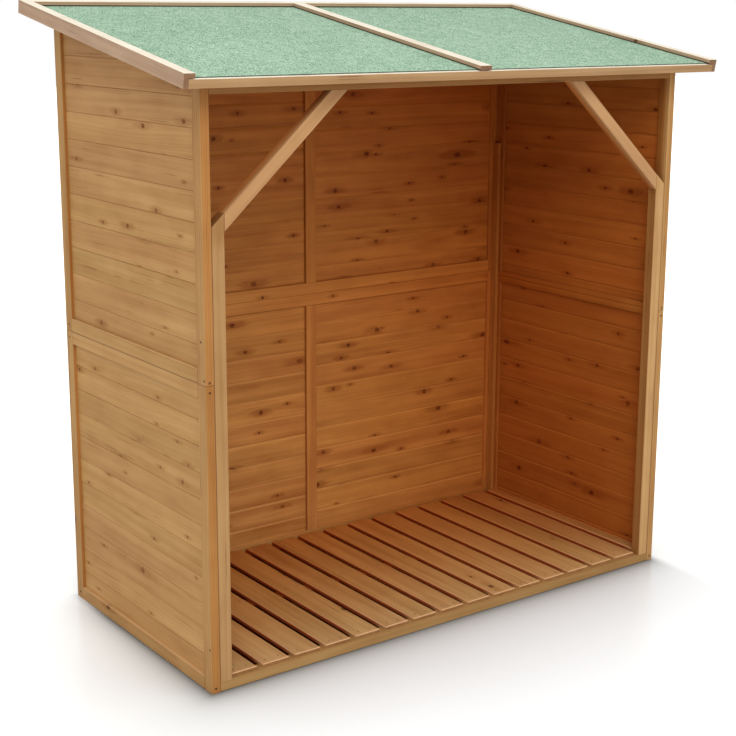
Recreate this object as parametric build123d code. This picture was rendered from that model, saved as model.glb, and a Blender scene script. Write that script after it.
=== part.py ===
"""An open-fronted timber log store: panelled walls, braced front, slatted floor, felted roof.

Millimetres, +Z up, +X along the front, +Y towards the back wall, so the open front faces -Y.
The origin is on the ground under the middle of the footprint.
"""

import math
import os

from build123d import *

# Footprint and heights
WIDTH = 1800.0
DEPTH = 885.0
SEAM_Z = 906.0
INNER_SEAM_Z = 922.0
EAVES_Z = 1727.0
ROOF_SLOPE = 10.2

# Sawn timber sections
FRAME_T = 28.0
STILE_W = 43.0
RAIL_W = 41.0
EASE = 1.5

# Cladding boards, set back from both faces of the frame
REVEAL = 10.0
BOARD_T = FRAME_T - 2 * REVEAL

# Front posts, braces, header and sill
POST_W = 40.0
POST_D = 35.0
BRACE_W = 38.0
BRACE_ANGLE = 42.0
BRACE_FOOT_Z = 1323.0
HEADER_H = 39.0
SILL_H = 28.0
SILL_D = 43.0

# Floor: as many slats as the gap allows, from the left post to a narrow slot at the right one
SLAT_W = 90.0
SLAT_T = 12.0
SLAT_GAP = 21.4
SLAT_END_GAP = 14.8
SLAT_SETBACK = 12.0
SLAT_BACK_GAP = 18.0
SLAT_CHAMFER = 2.5
BEARER_D = 43.0

# Roof: two felted bays under edge boards of L section, which hang a little below the battens
SIDE_OVERHANG = 93.0
FRONT_OVERHANG = 90.0
REAR_OVERHANG = 36.0
EDGE_W = 33.0
EDGE_LEG = 15.5
EDGE_CAP_T = 13.5
EDGE_DROP = 3.0
FELT_T = 2.5
DECK_T = 10.0
ROOF_BATTEN_T = 10.5
ROOF_BATTEN_W = 43.0
ROOF_BATTENS_PER_BAY = 3
ROOF_BATTEN_INSET = 12.0
FASCIA_T = 16.0
CENTRE_BATTEN_W = 43.0

# Back wall, and the corner battens that tie it to the side walls
CORNER_W = 28.0
BEAD_W = 28.0
CORNER_BATTEN_W = 14.0
CORNER_BATTEN_D = 30.0
CORNER_BATTEN_TOP = 1412.0

# Derived levels and faces
HALF_W = WIDTH / 2
FRONT = -DEPTH / 2
REAR = DEPTH / 2
INNER_X = HALF_W - FRAME_T
BACK_FACE = REAR - FRAME_T
HEADER_Z = EAVES_Z - HEADER_H
SLAT_TOP = SILL_H + SLAT_T
SLOPE = math.radians(ROOF_SLOPE)
TAN = math.tan(SLOPE)
COS = math.cos(SLOPE)
ALONG_SLOPE = Axis((0, 0, 0), (0, COS, math.sin(SLOPE)))
BRACE = math.radians(BRACE_ANGLE)
BRACE_TAN = math.tan(BRACE)
BRACE_COS = math.cos(BRACE)
ALONG_BRACE = Axis((0, 0, 0), (BRACE_COS, 0, math.sin(BRACE)))
ROOF_T = EDGE_CAP_T + FELT_T + DECK_T + ROOF_BATTEN_T
EDGE_H = ROOF_T + EDGE_DROP
DECK_TOP = -EDGE_CAP_T - FELT_T
ROOF_RUN = (FRONT_OVERHANG + DEPTH + REAR_OVERHANG) / COS
ROOF_HALF = HALF_W + SIDE_OVERHANG


def roof_under(y):
    """Height of the underside of the roof above a depth y."""
    return EAVES_Z + (y - FRONT) * TAN


def bar(x0, x1, y0, y1, z0, z1):
    """A plain rectangular timber between two corners."""
    middle = Pos((x0 + x1) / 2, (y0 + y1) / 2, (z0 + z1) / 2)
    return middle * Box(x1 - x0, y1 - y0, z1 - z0)


def prism_x(points, x0, x1):
    """A profile drawn in (y, z), run from x0 to x1."""
    sketch = Plane.YZ.offset(x0) * make_face(Polyline(*points, close=True))
    return extrude(sketch, x1 - x0)


def prism_y(points, y0, y1):
    """A profile drawn in (x, z), run from y0 back to y1."""
    face = Plane(origin=(0, y0, 0), x_dir=(1, 0, 0), z_dir=(0, -1, 0))
    return extrude(face * make_face(Polyline(*points, close=True)), y0 - y1)


def eased(solid, axis, size=EASE):
    """Take the sharpness off the long edges."""
    return chamfer(solid.edges().filter_by(axis), size)


def mirrored(solid):
    return mirror(solid, about=Plane.YZ)


def on_slope(solid):
    """Lay a roof part, drawn flat with its top front edge at the origin, on the slope."""
    top_front_z = roof_under(FRONT - FRONT_OVERHANG) + ROOF_T / COS
    return Pos(0, FRONT - FRONT_OVERHANG, top_front_z) * (Rot(ROOF_SLOPE, 0, 0) * solid)


parts = {}


def add(name, *solids):
    parts[name] = solids[0] if len(solids) == 1 else Compound(children=list(solids))


# Side walls: a square lower panel and an upper panel with a sloping head
def side_stile(y0, upper):
    y1 = y0 + STILE_W
    if not upper:
        return eased(bar(-HALF_W, -INNER_X, y0, y1, 0, SEAM_Z), Axis.Z)
    head = [(y0, SEAM_Z), (y1, SEAM_Z), (y1, roof_under(y1)), (y0, roof_under(y0))]
    return eased(prism_x(head, -HALF_W, -INNER_X), Axis.Z)


def rail_under(y):
    """Height of the underside of the sloping top rail at a depth y."""
    return roof_under(y) - RAIL_W / COS


def sloping_rail(y0, y1):
    """A (y, z) outline of the top rail, close under the roof."""
    return [(y0, rail_under(y0)), (y1, rail_under(y1)), (y1, roof_under(y1)), (y0, roof_under(y0))]


def under_rail(y0, y1, z0):
    """A (y, z) outline from z0 up to the underside of the sloping top rail."""
    return [(y0, z0), (y1, z0), (y1, rail_under(y1)), (y0, rail_under(y0))]


bay_front = FRONT + STILE_W
bay_rear = REAR - STILE_W
board_out = HALF_W - REVEAL
board_in = board_out - BOARD_T
bead_front = bay_rear - BEAD_W

# The rail at the seam is in two layers, and the inner one stands higher, over the joint
inner_rail_z = INNER_SEAM_Z - RAIL_W
lower_rails = [
    eased(bar(-HALF_W, -INNER_X, bay_front, bay_rear, 0, RAIL_W), Axis.Y),
    eased(bar(-HALF_W, -board_out, bay_front, bay_rear, SEAM_Z - RAIL_W, SEAM_Z), Axis.Y),
    eased(bar(-board_in, -INNER_X, bay_front, bay_rear, inner_rail_z, INNER_SEAM_Z), Axis.Y),
]
batten_in = INNER_X - CORNER_BATTEN_W
batten_front = BACK_FACE - CORNER_BATTEN_D
corner_batten = bar(-INNER_X, -batten_in, batten_front, BACK_FACE, SILL_H, CORNER_BATTEN_TOP)
side_parts = {
    "lower_front_stile": [side_stile(FRONT, False)],
    "lower_rear_stile": [side_stile(bay_rear, False)],
    "lower_rails": lower_rails,
    "lower_cladding": [
        bar(-board_out, -board_in, bay_front, bay_rear, RAIL_W, SEAM_Z)
    ],
    "upper_front_stile": [side_stile(FRONT, True)],
    "upper_rear_stile": [side_stile(bay_rear, True)],
    "upper_top_rail": [
        eased(prism_x(sloping_rail(bay_front, bay_rear), -HALF_W, -INNER_X), ALONG_SLOPE)
    ],
    "upper_bottom_rail": [
        eased(bar(-HALF_W, -board_out, bay_front, bay_rear, SEAM_Z, SEAM_Z + RAIL_W), Axis.Y)
    ],
    "upper_cladding": [
        prism_x(under_rail(bay_front, bay_rear, SEAM_Z), -board_out, -board_in)
    ],
    "inner_beads": [
        eased(bar(-board_in, -INNER_X, bead_front, bay_rear, RAIL_W, inner_rail_z), Axis.Z),
        eased(
            prism_x(under_rail(bead_front, bay_rear, INNER_SEAM_Z), -board_in, -INNER_X), Axis.Z
        ),
    ],
    "corner_batten": [eased(corner_batten, Axis.Z)],
}
for name, solids in side_parts.items():
    add("left_" + name, *solids)
    add("right_" + name, *[mirrored(solid) for solid in solids])

# Back wall: two panels, one above the other, each with a stile right of the middle
board_front = BACK_FACE + REVEAL
board_back = board_front + BOARD_T
corner_x = INNER_X - CORNER_W
bays = [(-corner_x, 0.0), (STILE_W, corner_x)]


def back_head(x0, x1, below_top, z0):
    """A back wall piece from z0 up to the roof, or to the underside of its top rail."""
    level = roof_under(BACK_FACE) - below_top
    if below_top:
        return bar(x0, x1, BACK_FACE, REAR, z0, level)
    head = [
        (BACK_FACE, z0),
        (REAR, z0),
        (REAR, roof_under(REAR)),
        (BACK_FACE, roof_under(BACK_FACE)),
    ]
    return prism_x(head, x0, x1)


back_top_z = roof_under(BACK_FACE) - RAIL_W
add(
    "back_lower_stiles",
    eased(bar(-INNER_X, -corner_x, BACK_FACE, REAR, 0, INNER_SEAM_Z), Axis.Z),
    eased(bar(0, STILE_W, BACK_FACE, REAR, RAIL_W, INNER_SEAM_Z - RAIL_W), Axis.Z),
    eased(bar(corner_x, INNER_X, BACK_FACE, REAR, 0, INNER_SEAM_Z), Axis.Z),
)
add(
    "back_lower_rails",
    *[
        eased(bar(-corner_x, corner_x, BACK_FACE, REAR, z0, z0 + RAIL_W), Axis.X)
        for z0 in (0, INNER_SEAM_Z - RAIL_W)
    ],
)
add(
    "back_lower_cladding",
    *[
        bar(x0, x1, board_front, board_back, RAIL_W, INNER_SEAM_Z - RAIL_W)
        for x0, x1 in bays
    ],
)
add(
    "back_upper_stiles",
    eased(back_head(-INNER_X, -corner_x, 0, INNER_SEAM_Z), Axis.Z),
    eased(bar(0, STILE_W, BACK_FACE, REAR, INNER_SEAM_Z + RAIL_W, back_top_z), Axis.Z),
    eased(back_head(corner_x, INNER_X, 0, INNER_SEAM_Z), Axis.Z),
)
add(
    "back_upper_rails",
    eased(
        bar(-corner_x, corner_x, BACK_FACE, REAR, INNER_SEAM_Z, INNER_SEAM_Z + RAIL_W), Axis.X
    ),
    eased(back_head(-corner_x, corner_x, 0, back_top_z), Axis.X),
)
add(
    "back_upper_cladding",
    *[
        bar(x0, x1, board_front, board_back, INNER_SEAM_Z + RAIL_W, back_top_z)
        for x0, x1 in bays
    ],
)

# Front: sill, posts, braces and header between the side walls
brace_head_z = BRACE_FOOT_Z + BRACE_W / BRACE_COS
post_in = INNER_X - POST_W
post_back = FRONT + POST_D


def brace_x(z, from_z):
    """How far from the middle a brace edge that starts at from_z has got by height z."""
    return post_in - (z - from_z) / BRACE_TAN


post_outline = [
    (-INNER_X, SILL_H),
    (-post_in, SILL_H),
    (-post_in, brace_head_z),
    (-INNER_X, brace_head_z - POST_W * BRACE_TAN),
]
brace_outline = [
    (-post_in, BRACE_FOOT_Z),
    (-brace_x(HEADER_Z, BRACE_FOOT_Z), HEADER_Z),
    (-brace_x(HEADER_Z, brace_head_z), HEADER_Z),
    (-post_in, brace_head_z),
]
post = eased(prism_y(post_outline, FRONT, post_back), Axis.Z)
brace = eased(prism_y(brace_outline, FRONT, post_back), ALONG_BRACE)
add("left_post", post)
add("right_post", mirrored(post))
add("left_brace", brace)
add("right_brace", mirrored(brace))
header_outline = [
    (FRONT, HEADER_Z),
    (post_back, HEADER_Z),
    (post_back, roof_under(post_back)),
    (FRONT, roof_under(FRONT)),
]
add("header", eased(prism_x(header_outline, -INNER_X, INNER_X), Axis.X))
add(
    "sill",
    eased(bar(-INNER_X, INNER_X, FRONT, FRONT + SILL_D, 0, SILL_H), Axis.X),
)

# Floor: slats from front to back over the sill and two bearers, and a strip behind each post
slat_front = FRONT + SLAT_SETBACK
slat_rear = BACK_FACE - SLAT_BACK_GAP
add(
    "floor_bearers",
    eased(bar(-INNER_X, INNER_X, -BEARER_D / 2, BEARER_D / 2, 0, SILL_H), Axis.X),
    eased(bar(-INNER_X, INNER_X, slat_rear - BEARER_D, slat_rear, 0, SILL_H), Axis.X),
)
floor_span = 2 * post_in - SLAT_END_GAP
slat_count = round((floor_span + SLAT_GAP) / (SLAT_W + SLAT_GAP))
slat_pitch = (floor_span - SLAT_W) / (slat_count - 1)
slats = []
for index in range(slat_count):
    x0 = -post_in + index * slat_pitch
    slat = bar(x0, x0 + SLAT_W, slat_front, slat_rear, SILL_H, SLAT_TOP)
    top_edges = slat.faces().sort_by(Axis.Z)[-1].edges()
    slats.append(chamfer(top_edges, SLAT_CHAMFER))
strip = bar(post_in + SLAT_GAP - SLAT_END_GAP, INNER_X, post_back, batten_front, SILL_H, SLAT_TOP)
strip = chamfer(strip.faces().sort_by(Axis.Z)[-1].edges(), SLAT_CHAMFER)
add("floor_slats", *slats, mirrored(strip), strip)

# Roof, drawn flat: x across, y up the slope from the front edge, z down from the top
leg_in = ROOF_HALF - EDGE_LEG
cap_in = ROOF_HALF - EDGE_W
deck_front = FASCIA_T
deck_rear = ROOF_RUN - EDGE_LEG
for side, sign in (("left", -1), ("right", 1)):
    x0, x1 = sorted((0.0, sign * leg_in))
    deck = bar(x0, x1, deck_front, deck_rear, DECK_TOP - DECK_T, DECK_TOP)
    felt = bar(x0, x1, deck_front, deck_rear, DECK_TOP, DECK_TOP + FELT_T)
    add(side + "_roof_deck", on_slope(deck))
    add(side + "_roof_felt", on_slope(felt))
    corners = [(leg_in, -EDGE_H), (ROOF_HALF, -EDGE_H), (ROOF_HALF, 0), (cap_in, 0)]
    corners += [(cap_in, -EDGE_CAP_T), (leg_in, -EDGE_CAP_T)]
    board = prism_y([(sign * x, z) for x, z in corners], 0, ROOF_RUN)
    add(side + "_edge_board", on_slope(board))

# Under each bay, from beside the joint in the middle out to the top of the side wall
over_wall = (HALF_W + INNER_X) / 2 - ROOF_BATTEN_W / 2
batten_step = (over_wall - ROOF_BATTEN_INSET) / (ROOF_BATTENS_PER_BAY - 1)
battens = []
for sign in (-1, 1):
    for index in range(ROOF_BATTENS_PER_BAY):
        x = ROOF_BATTEN_INSET + index * batten_step
        x0, x1 = sorted((sign * x, sign * (x + ROOF_BATTEN_W)))
        battens.append(bar(x0, x1, deck_front, deck_rear, -ROOF_T, DECK_TOP - DECK_T))
add("roof_battens", *[on_slope(solid) for solid in battens])
add("fascia", on_slope(bar(-leg_in, leg_in, 0, FASCIA_T, -EDGE_H, DECK_TOP)))
rear_leg = bar(-leg_in, leg_in, deck_rear, ROOF_RUN, -EDGE_H, -EDGE_CAP_T)
rear_cap = bar(-cap_in, cap_in, ROOF_RUN - EDGE_W, ROOF_RUN, -EDGE_CAP_T, 0)
add("rear_edge_board", on_slope(rear_leg + rear_cap))
half_batten = CENTRE_BATTEN_W / 2
centre_batten = bar(-half_batten, half_batten, 0, ROOF_RUN - EDGE_W, -EDGE_CAP_T, 0)
add("centre_batten", on_slope(centre_batten))

os.makedirs("parts", exist_ok=True)
for name, shape in parts.items():
    export_step(shape, "parts/" + name + ".step")
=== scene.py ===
# %% [markdown]
# # An open-fronted log store
# A lean-to shed for firewood: panelled sides and back, a braced open front, a slatted floor
# and a felted roof. The timbers come from the CAD model, and this lesson adds what the CAD
# model leaves out: tongue-and-groove boards, nails and screws, and the stain on the wood.

# %% Load the frame
import json
import math
import random

import bmesh
import bpy
from mathutils import Matrix, Vector


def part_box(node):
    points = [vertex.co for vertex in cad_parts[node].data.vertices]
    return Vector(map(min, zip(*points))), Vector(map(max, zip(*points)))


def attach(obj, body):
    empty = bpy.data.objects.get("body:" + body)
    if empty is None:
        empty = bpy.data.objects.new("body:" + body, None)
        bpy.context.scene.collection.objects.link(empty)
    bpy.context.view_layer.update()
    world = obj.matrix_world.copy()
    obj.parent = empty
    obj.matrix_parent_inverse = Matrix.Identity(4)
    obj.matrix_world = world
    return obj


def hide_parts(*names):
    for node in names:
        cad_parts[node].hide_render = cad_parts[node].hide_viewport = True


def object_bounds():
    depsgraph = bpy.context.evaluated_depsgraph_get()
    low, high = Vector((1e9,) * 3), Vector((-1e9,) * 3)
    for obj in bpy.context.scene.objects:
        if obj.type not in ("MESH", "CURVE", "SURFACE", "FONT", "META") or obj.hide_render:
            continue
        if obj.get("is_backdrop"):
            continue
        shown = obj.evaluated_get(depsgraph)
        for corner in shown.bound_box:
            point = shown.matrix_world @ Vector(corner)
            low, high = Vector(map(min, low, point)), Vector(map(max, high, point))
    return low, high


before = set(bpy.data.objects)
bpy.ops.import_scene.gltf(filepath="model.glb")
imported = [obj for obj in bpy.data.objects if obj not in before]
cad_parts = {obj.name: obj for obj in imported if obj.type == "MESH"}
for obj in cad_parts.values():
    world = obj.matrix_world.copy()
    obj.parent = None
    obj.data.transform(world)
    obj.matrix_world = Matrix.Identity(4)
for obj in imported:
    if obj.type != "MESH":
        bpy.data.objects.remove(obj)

size_of_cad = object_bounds()
print("CAD model:", len(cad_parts), "nodes, box", size_of_cad)

# %% [markdown]
# ## Helpers for node materials
# A procedural material is a tree of small nodes. Two helpers keep that readable: one adds any
# node and joins its inputs, and one does a line of arithmetic. Colours are written as they
# look on a paint chart, from 0 to 255, and turned into the linear values that Blender wants.

# %% Node helpers
def paint(red, green, blue):
    """A paint-chart colour as linear red, green, blue and alpha."""
    def linear(c):
        c /= 255
        return c / 12.92 if c <= 0.04045 else ((c + 0.055) / 1.055) ** 2.4
    return (linear(red), linear(green), linear(blue), 1.0)


def new_node(tree, kind):
    """Add a node, in rows of twelve so that the tree can be read."""
    made = tree.nodes.new(kind)
    made.location = (180 * (len(tree.nodes) % 12), -230 * (len(tree.nodes) // 12))
    return made


def feed(tree, socket, value):
    """Give an input a number, a colour, or the output of an earlier node."""
    if isinstance(value, bpy.types.NodeSocket):
        tree.links.new(value, socket)
    else:
        socket.default_value = value


def node(tree, kind, inputs=None, **options):
    """Add a node, set its options and feed its inputs."""
    made = new_node(tree, kind)
    for name, value in options.items():
        setattr(made, name, value)
    for name, value in (inputs or {}).items():
        feed(tree, made.inputs[name], value)
    return made


def maths(tree, operation, *values):
    """One step of arithmetic on numbers."""
    return node(tree, "ShaderNodeMath", dict(enumerate(values)), operation=operation).outputs[0]


def swing(tree, value, middle, share, base):
    """Add to base a share of how far value is from its middle."""
    return maths(tree, "MULTIPLY_ADD", maths(tree, "SUBTRACT", value, middle), share, base)


def fade(tree, value, start, stop, first=0.0, last=1.0):
    """Go smoothly from first to last while value goes from start to stop."""
    inputs = {"Value": value, "From Min": start, "From Max": stop, "To Min": first, "To Max": last}
    made = node(tree, "ShaderNodeMapRange", inputs, interpolation_type="SMOOTHSTEP")
    return made.outputs["Result"]


def mix(tree, share, first, second, how="MIX"):
    """Blend two colours."""
    inputs = {"Factor": share, "A": first, "B": second}
    made = node(tree, "ShaderNodeMix", data_type="RGBA", blend_type=how)
    for socket in made.inputs:
        if socket.enabled and socket.name in inputs:
            feed(tree, socket, inputs[socket.name])
    return [socket for socket in made.outputs if socket.enabled][0]


def noise(tree, place, detail=2.0, roughness=0.5):
    """Soft noise from 0 to 1 over a place that is already stretched to size."""
    inputs = {"Vector": place, "Scale": 1.0, "Detail": detail, "Roughness": roughness}
    return node(tree, "ShaderNodeTexNoise", inputs).outputs["Fac"]


def stretch(tree, place, x, y, z):
    """Scale a place along its three directions, in waves per metre."""
    inputs = {"Vector": place, "Scale": (x, y, z)}
    return node(tree, "ShaderNodeMapping", inputs, vector_type="POINT").outputs[0]


def mix_numbers(tree, share, first, second):
    """Blend two numbers."""
    return node(tree, "ShaderNodeMix", {0: share, 2: first, 3: second}).outputs[0]


def distance(tree, one_way, other_way):
    """How far a point lies from the origin, from its two coordinates."""
    squares = [maths(tree, "MULTIPLY", side, side) for side in (one_way, other_way)]
    return maths(tree, "SQRT", maths(tree, "ADD", *squares))


def parts_of(tree, vector):
    """The x, y and z of a vector."""
    return node(tree, "ShaderNodeSeparateXYZ", {0: vector}).outputs


def join(tree, x, y, z):
    """A vector from its x, y and z."""
    return node(tree, "ShaderNodeCombineXYZ", {0: x, 1: y, 2: z}).outputs[0]

# %% [markdown]
# ## How every finish begins and ends
# Wood, felt and steel differ in colour, roughness and relief, but each starts from an empty
# tree and ends in one Principled shader with a little bump. Their gloss is the same all over,
# so it is written on the shader itself.

# %% Start and end of a material
def bare_material(name):
    """A new material and its empty node tree."""
    material = bpy.data.materials.new(name)
    material.use_nodes = True
    material.node_tree.nodes.clear()
    return material, material.node_tree


def surface(tree, colour, rough, height, strength, relief, gloss):
    """End a tree in a shader; relief is the bump's height in metres."""
    shape = {"Strength": strength, "Distance": relief, "Height": height}
    bump = node(tree, "ShaderNodeBump", shape).outputs[0]
    inputs = {"Base Color": colour, "Roughness": rough, "Normal": bump, "Specular IOR Level": gloss}
    shader = node(tree, "ShaderNodeBsdfPrincipled", inputs)
    node(tree, "ShaderNodeOutputMaterial", {"Surface": shader.outputs[0]})

# %% [markdown]
# ## Softwood under a honey stain
# Planed spruce shows faint growth rings, broad streaks where the stain soaked in, and small
# dark knots with the grain bending round them. All of it follows the trunk, so the pattern is
# worked out in grain coordinates: x runs along the board, y across its face and z through it.
# A piece number moves the pattern, so that no two timbers are cut from the same spot. The same
# solid pattern then gives rings on the end grain for free.

# %% Growth rings and knots, as one node group
RING = 0.0042
KNOT_ALONG, KNOT_ACROSS = 0.21, 0.082
END_PALE, END_DARK = (0.70, 0.60, 0.52, 1), (0.42, 0.34, 0.28, 1)
GIVEN = {
    "Grain": "Vector", "Facing": "Vector", "Piece": "Float", "Pale": "Color", "Deep": "Color",
    "Knot": "Color", "Knots kept": "Float", "Piece to piece": "Float", "Ring strength": "Float",
    "Knot size": "Float", "Arris": "Float",
}
RESULTS = {"Color": "Color", "Roughness": "Float", "Height": "Float"}


def softwood_group():
    """Rings, fibres, streaks and knots; it gives a colour, a roughness and a height."""
    tree = bpy.data.node_groups.new("stained softwood", "ShaderNodeTree")
    for sockets, way in ((GIVEN, "INPUT"), (RESULTS, "OUTPUT")):
        for name, kind in sockets.items():
            tree.interface.new_socket(name, in_out=way, socket_type="NodeSocket" + kind)
    given = node(tree, "NodeGroupInput").outputs

    # where in the tree this piece was cut
    draw = node(tree, "ShaderNodeTexWhiteNoise", {"W": given["Piece"]}, noise_dimensions="1D")
    red, green, blue = node(tree, "ShaderNodeSeparateColor", {0: draw.outputs["Color"]}).outputs
    along, across, through = parts_of(tree, given["Grain"])
    along = maths(tree, "MULTIPLY_ADD", red, 37.0, along)
    wide = maths(tree, "MULTIPLY_ADD", green, 11.0, across)
    grain = join(tree, along, wide, through)

    # knots: one chance in each cell of a stretched grid
    cell_x = maths(tree, "DIVIDE", along, KNOT_ALONG)
    cell_y = maths(tree, "DIVIDE", wide, KNOT_ACROSS)
    cell = join(tree, cell_x, cell_y, 0.0)
    spot = node(tree, "ShaderNodeTexVoronoi", {"Vector": cell, "Scale": 1.0}, voronoi_dimensions="2D")
    spot_x, spot_y = parts_of(tree, spot.outputs["Position"])[:2]
    big, kept, oval = node(tree, "ShaderNodeSeparateColor", {0: spot.outputs["Color"]}).outputs
    wobble = noise(tree, stretch(tree, grain, 150, 150, 150), 2)
    off_x = maths(tree, "MULTIPLY", maths(tree, "SUBTRACT", cell_x, spot_x), KNOT_ALONG)
    off_y = maths(tree, "MULTIPLY", maths(tree, "SUBTRACT", cell_y, spot_y), KNOT_ACROSS)
    off_x = maths(tree, "MULTIPLY", off_x, maths(tree, "MULTIPLY_ADD", oval, 0.45, 0.55))
    away = distance(tree, off_x, off_y)
    away = swing(tree, wobble, 0.5, 0.0035, away)
    reach = maths(tree, "MULTIPLY_ADD", maths(tree, "POWER", big, 1.6), 0.0052, 0.0028)
    reach = maths(tree, "MULTIPLY", reach, given["Knot size"])
    knotted = maths(tree, "LESS_THAN", kept, given["Knots kept"])
    share = maths(tree, "DIVIDE", away, reach)
    core = maths(tree, "MULTIPLY", fade(tree, share, 1.1, 0.75), knotted)
    from_rim = maths(tree, "ABSOLUTE", maths(tree, "SUBTRACT", share, 1.05))
    rim = maths(tree, "MULTIPLY", fade(tree, from_rim, 0.30, 0.05), knotted)
    long_x = maths(tree, "MULTIPLY", off_x, 0.36)
    flow = distance(tree, long_x, off_y)
    halo = maths(tree, "MULTIPLY", fade(tree, maths(tree, "DIVIDE", flow, reach), 3.0, 0.9), knotted)

    # growth rings: cylinders round a wandering heart, pushed aside by the knots
    wander = noise(tree, stretch(tree, grain, 0.9, 5, 5), 1)
    wander = swing(tree, wander, 0.5, 0.030, maths(tree, "MULTIPLY", halo, 0.005))
    heart_y = maths(tree, "ADD", across, maths(tree, "MULTIPLY_ADD", green, 0.16, -0.08))
    heart_z = maths(tree, "ADD", through, maths(tree, "MULTIPLY_ADD", blue, 0.10, 0.02))
    trunk = distance(tree, heart_y, heart_z)
    trunk = maths(tree, "ADD", trunk, wander)
    year = maths(tree, "FRACT", maths(tree, "DIVIDE", trunk, RING))
    late = maths(tree, "MULTIPLY", fade(tree, year, 0.25, 0.82), fade(tree, year, 1.0, 0.9))
    slow_along, quick_out = maths(tree, "MULTIPLY", along, 0.5), maths(tree, "MULTIPLY", trunk, 90)
    years = noise(tree, join(tree, slow_along, quick_out, red), 2, 0.5)
    fibre = noise(tree, stretch(tree, grain, 9, 620, 620), 3, 0.65)
    cloud = noise(tree, stretch(tree, grain, 1.5, 24, 24), 2, 0.5)
    blotch = noise(tree, stretch(tree, grain, 7, 11, 11), 2, 0.5)
    streak = noise(tree, stretch(tree, grain, 2.2, 210, 210), 2, 0.5)
    streak = maths(tree, "MULTIPLY", fade(tree, streak, 0.66, 0.73), fade(tree, blotch, 0.42, 0.6))

    # colour
    shade = 0.5
    for pattern, share in ((years, 0.85), (cloud, 1.0), (blotch, 0.55), (fibre, 0.35)):
        shade = swing(tree, pattern, 0.5, share, shade)
    shade = swing(tree, late, 0.3, given["Ring strength"], shade)
    shade = maths(tree, "MULTIPLY_ADD", halo, 0.45, shade)
    clamped = node(tree, "ShaderNodeClamp", {0: shade}).outputs[0]
    colour = mix(tree, clamped, given["Pale"], given["Deep"])
    tone = maths(tree, "MULTIPLY", maths(tree, "SUBTRACT", blue, 0.5), given["Piece to piece"])
    tint = swing(tree, green, 0.5, 0.007, 0.5)
    change = {"Hue": tint, "Value": maths(tree, "ADD", tone, 1.0), "Color": colour}
    colour = node(tree, "ShaderNodeHueSaturation", change).outputs[0]
    colour = mix(tree, maths(tree, "MULTIPLY", streak, 0.6), colour, given["Knot"])
    colour = mix(tree, maths(tree, "MULTIPLY", rim, 0.5), colour, given["Knot"])
    milder = mix(tree, 0.3, given["Knot"], given["Deep"])
    dark = mix(tree, fade(tree, wobble, 0.35, 0.6), given["Knot"], milder)
    colour = mix(tree, maths(tree, "MULTIPLY", core, 0.94), colour, dark)

    # sawn ends drink more stain; the arrises get painted shade, as in the groove of a joint, and wide
    # bevels get a painted highlight
    faced = node(tree, "ShaderNodeVectorMath", {0: given["Facing"]}, operation="ABSOLUTE").outputs[0]
    face_x, face_y, face_z = parts_of(tree, faced)
    end = fade(tree, face_x, 0.6, 0.85)
    square = maths(tree, "MAXIMUM", face_x, maths(tree, "MAXIMUM", face_y, face_z))
    arris = maths(tree, "MULTIPLY", fade(tree, square, 0.88, 0.78), given["Arris"])
    bevel = maths(tree, "MULTIPLY", fade(tree, square, 0.975, 0.95), fade(tree, square, 0.88, 0.91))
    colour = mix(tree, maths(tree, "MULTIPLY", bevel, 0.35), colour, given["Pale"])
    colour = mix(tree, arris, colour, mix(tree, 0.4, given["Knot"], given["Deep"]))
    soaked = mix(tree, fade(tree, late, 0.0, 1.0, 0.35, 0.75), END_PALE, END_DARK)
    colour = mix(tree, end, colour, mix(tree, 1.0, colour, soaked, "MULTIPLY"))

    rough = maths(tree, "MULTIPLY_ADD", fibre, 0.22, 0.46)
    rough = maths(tree, "MULTIPLY_ADD", core, 0.15, rough)
    height = maths(tree, "MULTIPLY_ADD", fibre, 0.5, maths(tree, "MULTIPLY", late, 0.3))
    height = maths(tree, "MULTIPLY_ADD", core, 0.8, height)
    height = maths(tree, "MULTIPLY_ADD", streak, -0.5, height)
    node(tree, "NodeGroupOutput", {"Color": colour, "Roughness": rough, "Height": height})
    return tree


softwood = softwood_group()
print("stained softwood:", len(softwood.nodes), "nodes")

# %% [markdown]
# ## One stain for each kind of timber
# A material only has to say which way its grain runs and how strong the stain is. For an
# upright the grain is the world's z, for a rail it is x or y, and for a brace or a roof board
# the coordinates are turned by its lean first. Timbers that share a CAD node are told apart by
# where they stand, which gives each a piece number of its own.

# %% A wood material
ORDERS = {"upright": (2, 1, 0), "crosswise": (0, 2, 1), "deep": (1, 2, 0), "flat": (1, 0, 2)}
SEAM_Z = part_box("left_lower_front_stile")[1].z
INNER_SEAM_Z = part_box("back_lower_stiles")[1].z
FRONT_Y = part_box("left_lower_front_stile")[0].y
board_low, board_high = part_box("right_lower_cladding")
INDOORS_X = (board_low.x + board_high.x) / 2
board_low, board_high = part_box("back_lower_cladding")
INDOORS_Y = (board_low.y + board_high.y) / 2


# Painted shade under the roof fades in between these two heights.
SHADE_FROM, SHADE_TO = 1.4, 1.75


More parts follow.
